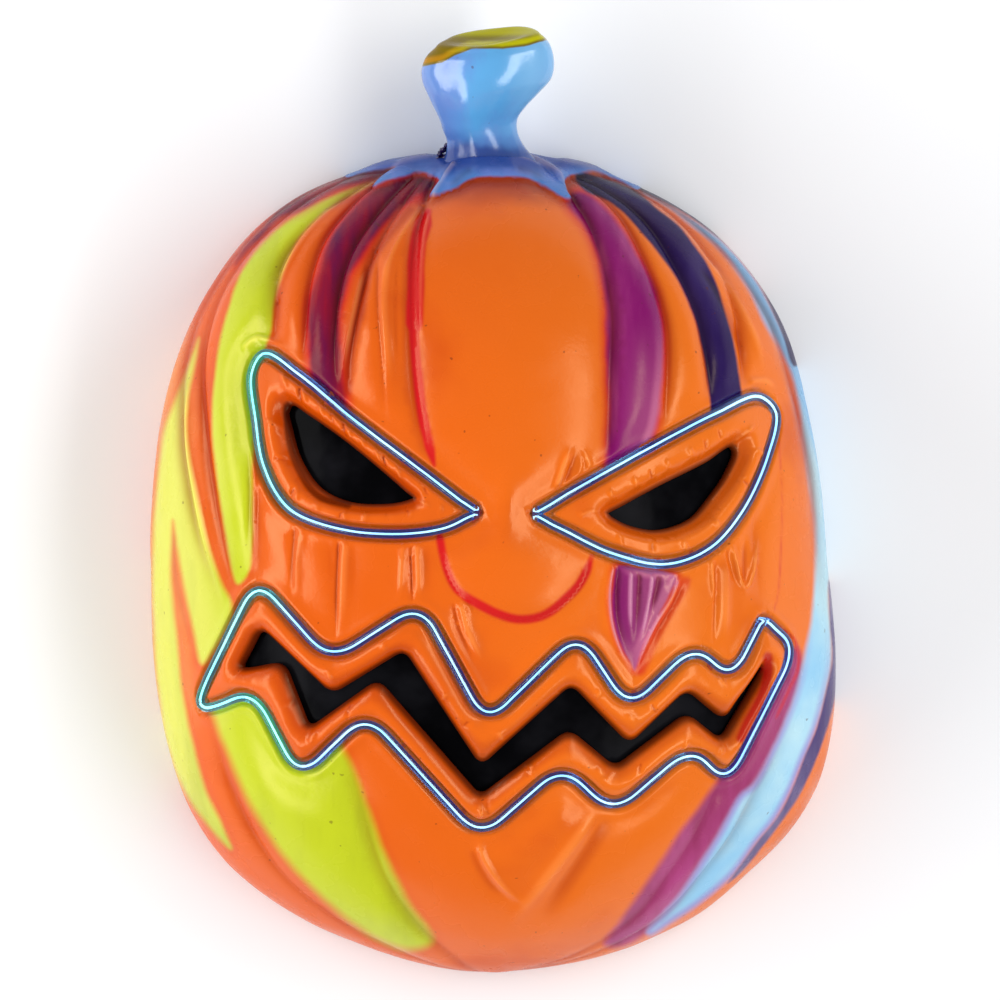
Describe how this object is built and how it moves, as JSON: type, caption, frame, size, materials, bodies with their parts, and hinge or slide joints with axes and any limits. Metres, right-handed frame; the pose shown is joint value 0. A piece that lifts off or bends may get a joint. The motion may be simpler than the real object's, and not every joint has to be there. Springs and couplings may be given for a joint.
{
  "type": "light-up pumpkin mask",
  "caption": "Moulded full-face pumpkin mask with a stem, slanted eyes, a zigzag mouth and glowing wire outlines, hollow behind, lying on its rim face up.",
  "frame": {"origin": "middle of the bounding box in plan, on the plane of the back rim", "axes": "+Y up the face towards the stem, +Z straight out of the face, +X to the right as the face is looked at"},
  "size_m": [0.2067, 0.2848, 0.0973],
  "materials": {
    "painted_vinyl": "semi-gloss airbrushed vinyl",
    "luminous_wire": "clear blue jacket over a glowing core",
    "dark_film": "glossy black film"
  },
  "bodies": {
    "root": {"mask_shell": "painted_vinyl", "left_eye_wire": "luminous_wire", "left_eye_film": "dark_film", "right_eye_wire": "luminous_wire", "right_eye_film": "dark_film", "mouth_wire": "luminous_wire", "mouth_film": "dark_film"}
  },
  "joints": []
}
